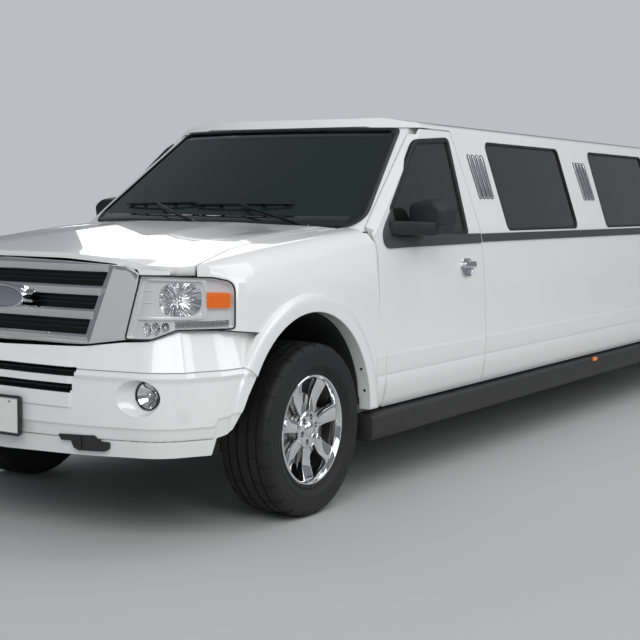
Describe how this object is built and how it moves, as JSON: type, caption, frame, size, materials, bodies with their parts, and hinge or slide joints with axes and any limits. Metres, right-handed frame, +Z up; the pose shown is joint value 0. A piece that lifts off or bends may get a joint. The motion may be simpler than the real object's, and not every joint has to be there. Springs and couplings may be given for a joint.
{
  "type": "stretch limousine",
  "caption": "White full-size utility vehicle stretched into a limousine, with opening doors, hood and liftgate, steered front wheels and dark side windows.",
  "frame": {"origin": "on the ground, in the middle of the length and width", "axes": "-Y towards the nose, +X towards the driver's side (left), +Z up"},
  "size_m": [2.3292, 8.801, 1.9449],
  "materials": {
    "paint": "gloss white",
    "black_plastic": "matte black",
    "grey_plastic": "dark grey trim",
    "chrome": "bright",
    "steel": "dull",
    "frame_steel": "satin black",
    "cast_iron": "cast",
    "tyre": "rubber",
    "leather": "black hide",
    "lamp_glass": "clear lens",
    "red_glass": "red lens",
    "screen_glass": "lightly tinted",
    "dark_glass": "dark tint"
  },
  "bodies": {
    "root": {"body_side_left": "paint", "body_side_right": "paint", "roof": "paint", "front_fenders": "paint", "bumper_front": "paint", "bumper_rear": "paint", "cowl": "black_plastic", "grille": "chrome", "radiator": "black_plastic", "headlamps": "lamp_glass", "fog_lamps": "lamp_glass", "tail_lamps": "red_glass", "windshield": "screen_glass", "side_glass": "dark_glass", "running_boards": "black_plastic", "engine_block": "cast_iron", "driveline": "steel", "exhaust": "steel", "fuel_tank": "black_plastic", "front_suspension": "steel", "rear_axle": "steel", "chassis_frame": "frame_steel", "floor_pan": "frame_steel", "dashboard": "grey_plastic", "seats": "leather", "partition": "grey_plastic", "wipers": "black_plastic", "front_plate": "black_plastic"},
    "door_front_left": {"door_front_left": "paint", "glass_front_left": "dark_glass", "mirror_left": "black_plastic"},
    "door_rear_left": {"door_rear_left": "paint", "glass_rear_left": "dark_glass"},
    "knuckle_left": {"knuckle_front_left": "steel"},
    "wheel_front_left": {"rim_front_left": "chrome", "tyre_front_left": "tyre"},
    "wheel_rear_left": {"rim_rear_left": "chrome", "tyre_rear_left": "tyre"},
    "door_front_right": {"door_front_right": "paint", "glass_front_right": "dark_glass", "mirror_right": "black_plastic"},
    "door_rear_right": {"door_rear_right": "paint", "glass_rear_right": "dark_glass"},
    "knuckle_right": {"knuckle_front_right": "steel"},
    "wheel_front_right": {"rim_front_right": "chrome", "tyre_front_right": "tyre"},
    "wheel_rear_right": {"rim_rear_right": "chrome", "tyre_rear_right": "tyre"},
    "hood": {"hood": "paint"},
    "liftgate": {"liftgate": "paint", "liftgate_glass": "dark_glass"},
    "steering_wheel": {"steering_wheel": "grey_plastic"}
  },
  "joints": [
    {"name": "door_front_left_hinge", "type": "hinge", "parent": "root", "child": "door_front_left", "pos_m": [1.001, -2.7945, 0.9], "axis": [0, 0, -1], "range_deg": [0, 65]},
    {"name": "door_rear_left_hinge", "type": "hinge", "parent": "root", "child": "door_rear_left", "pos_m": [1.001, 1.8615, 0.9], "axis": [0, 0, -1], "range_deg": [0, 65]},
    {"name": "door_front_right_hinge", "type": "hinge", "parent": "root", "child": "door_front_right", "pos_m": [-1.001, -2.7945, 0.9], "axis": [0, 0, 1], "range_deg": [0, 65]},
    {"name": "door_rear_right_hinge", "type": "hinge", "parent": "root", "child": "door_rear_right", "pos_m": [-1.001, 1.8615, 0.9], "axis": [0, 0, 1], "range_deg": [0, 65]},
    {"name": "steer_left", "type": "hinge", "parent": "root", "child": "knuckle_left", "pos_m": [0.8515, -3.3505, 0.405], "axis": [0, 0, 1], "range_deg": [-32, 32]},
    {"name": "steer_right", "type": "hinge", "parent": "root", "child": "knuckle_right", "pos_m": [-0.8515, -3.3505, 0.405], "axis": [0, 0, 1], "range_deg": [-32, 32]},
    {"name": "wheel_front_left_spin", "type": "hinge", "parent": "knuckle_left", "child": "wheel_front_left", "pos_m": [0.8515, -3.3505, 0.405], "axis": [1, 0, 0], "continuous": true},
    {"name": "wheel_front_right_spin", "type": "hinge", "parent": "knuckle_right", "child": "wheel_front_right", "pos_m": [-0.8515, -3.3505, 0.405], "axis": [1, 0, 0], "continuous": true},
    {"name": "wheel_rear_left_spin", "type": "hinge", "parent": "root", "child": "wheel_rear_left", "pos_m": [0.8535, 3.2285, 0.405], "axis": [1, 0, 0], "continuous": true},
    {"name": "wheel_rear_right_spin", "type": "hinge", "parent": "root", "child": "wheel_rear_right", "pos_m": [-0.8535, 3.2285, 0.405], "axis": [1, 0, 0], "continuous": true},
    {"name": "hood_hinge", "type": "hinge", "parent": "root", "child": "hood", "pos_m": [0, -2.8885, 1.36], "axis": [-1, 0, 0], "range_deg": [0, 50]},
    {"name": "liftgate_hinge", "type": "hinge", "parent": "root", "child": "liftgate", "pos_m": [0, 4.1545, 1.815], "axis": [1, 0, 0], "range_deg": [0, 80]},
    {"name": "steering_wheel_turn", "type": "hinge", "parent": "root", "child": "steering_wheel", "pos_m": [0.4, -2.4105, 1.13], "axis": [0, 0.8829, 0.4695], "range_deg": [-520, 520]}
  ],
  "couplings": [
    {"joint": "steer_right", "follows": "steer_left", "ratio": 1},
    {"joint": "steering_wheel_turn", "follows": "steer_left", "ratio": -16}
  ]
}
